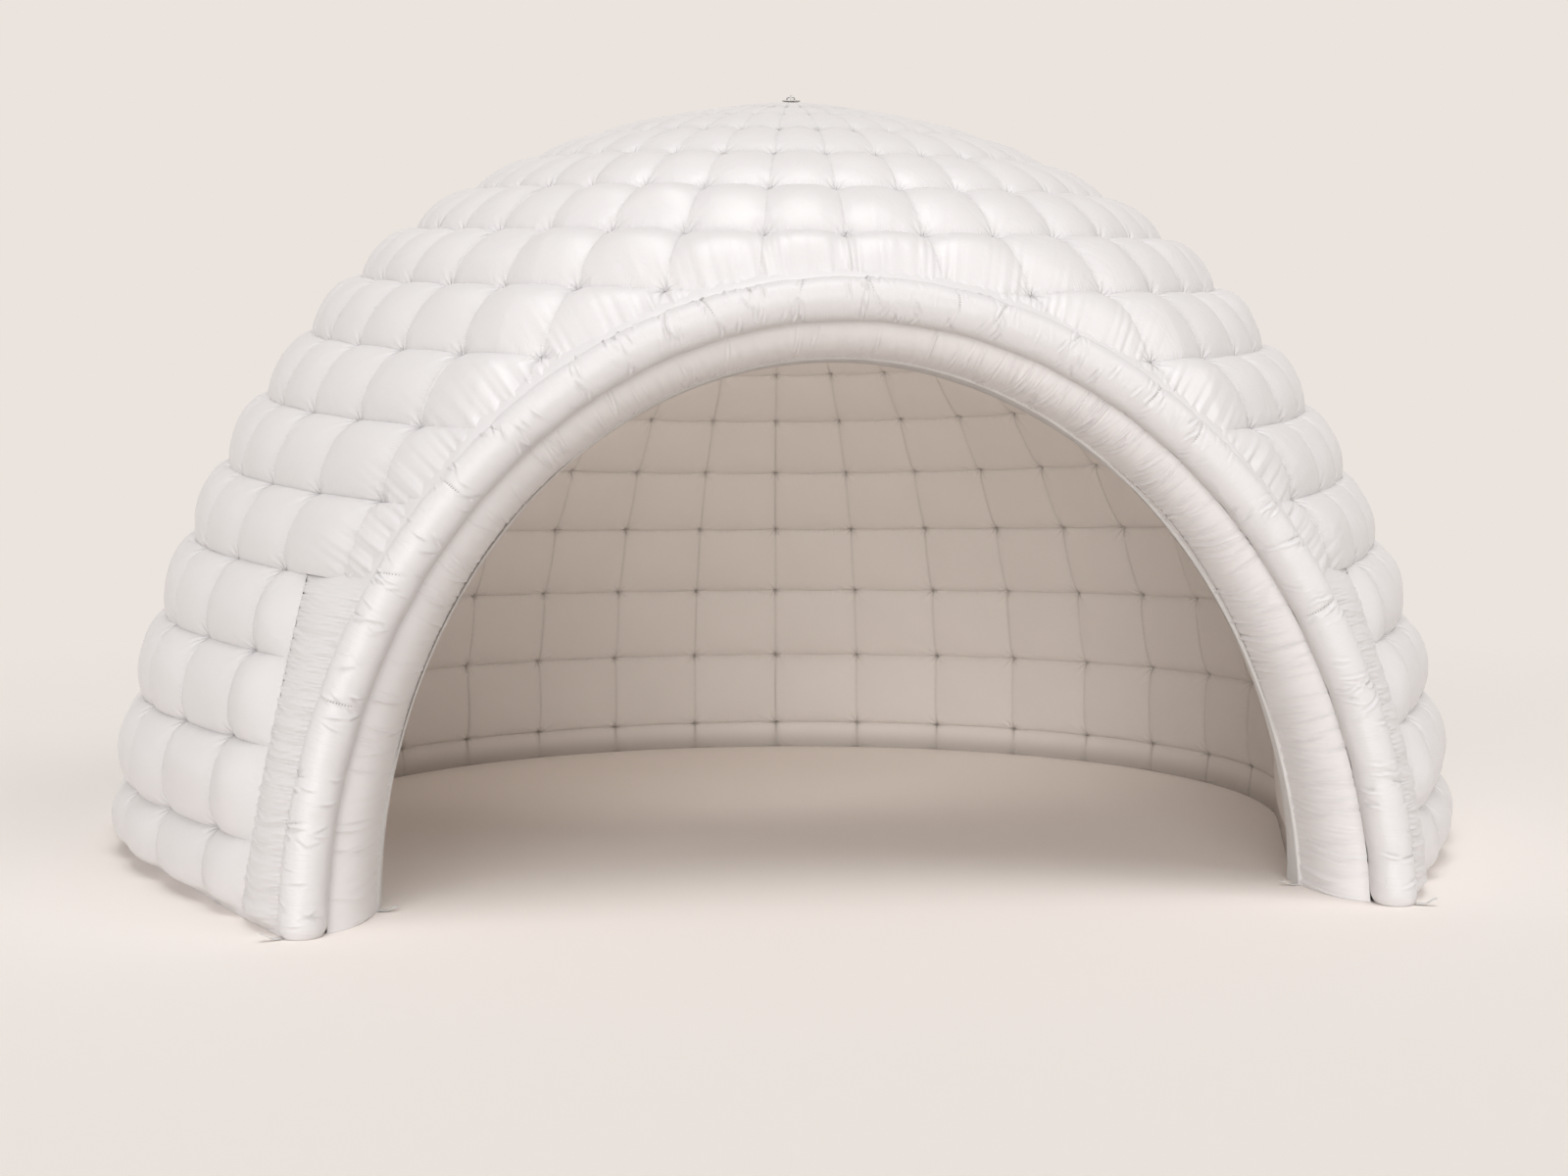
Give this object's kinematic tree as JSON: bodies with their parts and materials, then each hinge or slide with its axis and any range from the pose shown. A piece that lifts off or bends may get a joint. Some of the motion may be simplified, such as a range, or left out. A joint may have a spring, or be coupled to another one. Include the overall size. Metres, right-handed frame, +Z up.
{
  "type": "inflatable tent",
  "caption": "Round air-filled dome tent with a quilted double wall, an open leaning arch at the front, a built-in fan and a deflation zip.",
  "frame": {"origin": "centre of the whole tent's footprint box, on the ground", "axes": "+Z up, -Y towards the open front arch, +X to the right as seen from the front"},
  "size_m": [5.8902, 5.5674, 3.2851],
  "materials": {
    "shell_fabric": "satin coated",
    "lining_fabric": "satin coated",
    "webbing": "woven",
    "dark_plastic": "matte",
    "grey_plastic": "matte",
    "pale_plastic": "gloss",
    "steel": "brushed"
  },
  "bodies": {
    "tent": {"arch_foot_left": "shell_fabric", "arch_foot_right": "shell_fabric", "arch_tube": "shell_fabric", "crown_anchor": "dark_plastic", "fan_cable_inlet": "dark_plastic", "fan_guard": "grey_plastic", "fan_housing": "grey_plastic", "fan_motor": "dark_plastic", "fan_spider": "grey_plastic", "fan_switch_frame": "dark_plastic", "inner_base_band": "lining_fabric", "inner_crown": "lining_fabric", "inner_tier_1": "lining_fabric", "inner_tier_2": "lining_fabric", "inner_tier_3": "lining_fabric", "jamb_strip": "shell_fabric", "lip_binding": "webbing", "outer_crown": "shell_fabric", "outer_tier_1": "shell_fabric", "outer_tier_2": "shell_fabric", "outer_tier_3": "shell_fabric", "outer_tier_4": "shell_fabric", "outer_tier_5": "shell_fabric", "outer_tier_6": "shell_fabric", "outer_tier_7": "shell_fabric", "sole_strip": "lining_fabric", "strip_left": "shell_fabric", "strip_right": "shell_fabric", "tie_tab_inner_left": "webbing", "tie_tab_inner_right": "webbing", "tie_tab_outer_left": "webbing", "tie_tab_outer_right": "webbing", "tie_web_1": "lining_fabric", "tie_web_2": "lining_fabric", "tie_web_3": "lining_fabric", "tie_web_4": "lining_fabric", "tie_web_5": "lining_fabric", "zip_pocket": "shell_fabric", "zip_tape": "webbing", "zip_teeth": "grey_plastic"},
    "ring": {"crown_ring": "steel"},
    "wheel": {"fan_impeller": "dark_plastic"},
    "rocker": {"fan_switch_rocker": "pale_plastic"},
    "slider": {"zip_slider": "steel"},
    "pull": {"zip_pull": "steel"},
    "flap": {"zip_flap": "shell_fabric"}
  },
  "joints": [
    {"name": "ring_swing", "type": "hinge", "parent": "tent", "child": "ring", "pos_m": [0, -0.63488, 3.27357], "axis": [1, 0, 0], "range_deg": [0, 219]},
    {"name": "fan_spin", "type": "hinge", "parent": "tent", "child": "wheel", "pos_m": [0, 2.64929, 0.5], "axis": [0, 1, 0], "continuous": true},
    {"name": "switch_rock", "type": "hinge", "parent": "tent", "child": "rocker", "pos_m": [0.08496, 2.77029, 0.39125], "axis": [0.6157, 0, -0.788], "range_deg": [-16, 0]},
    {"name": "zip_slide", "type": "slide", "parent": "tent", "child": "slider", "axis": [-1, 0, 0], "range_m": [0, 0.257]},
    {"name": "pull_swing", "type": "hinge", "parent": "slider", "child": "pull", "pos_m": [0.1347, 2.65796, 0.95338], "axis": [0, 0, -1], "range_deg": [0, 130]},
    {"name": "flap_lift", "type": "hinge", "parent": "tent", "child": "flap", "pos_m": [0, 2.74136, 1.01538], "axis": [1, 0, 0], "range_deg": [0, 150]}
  ]
}
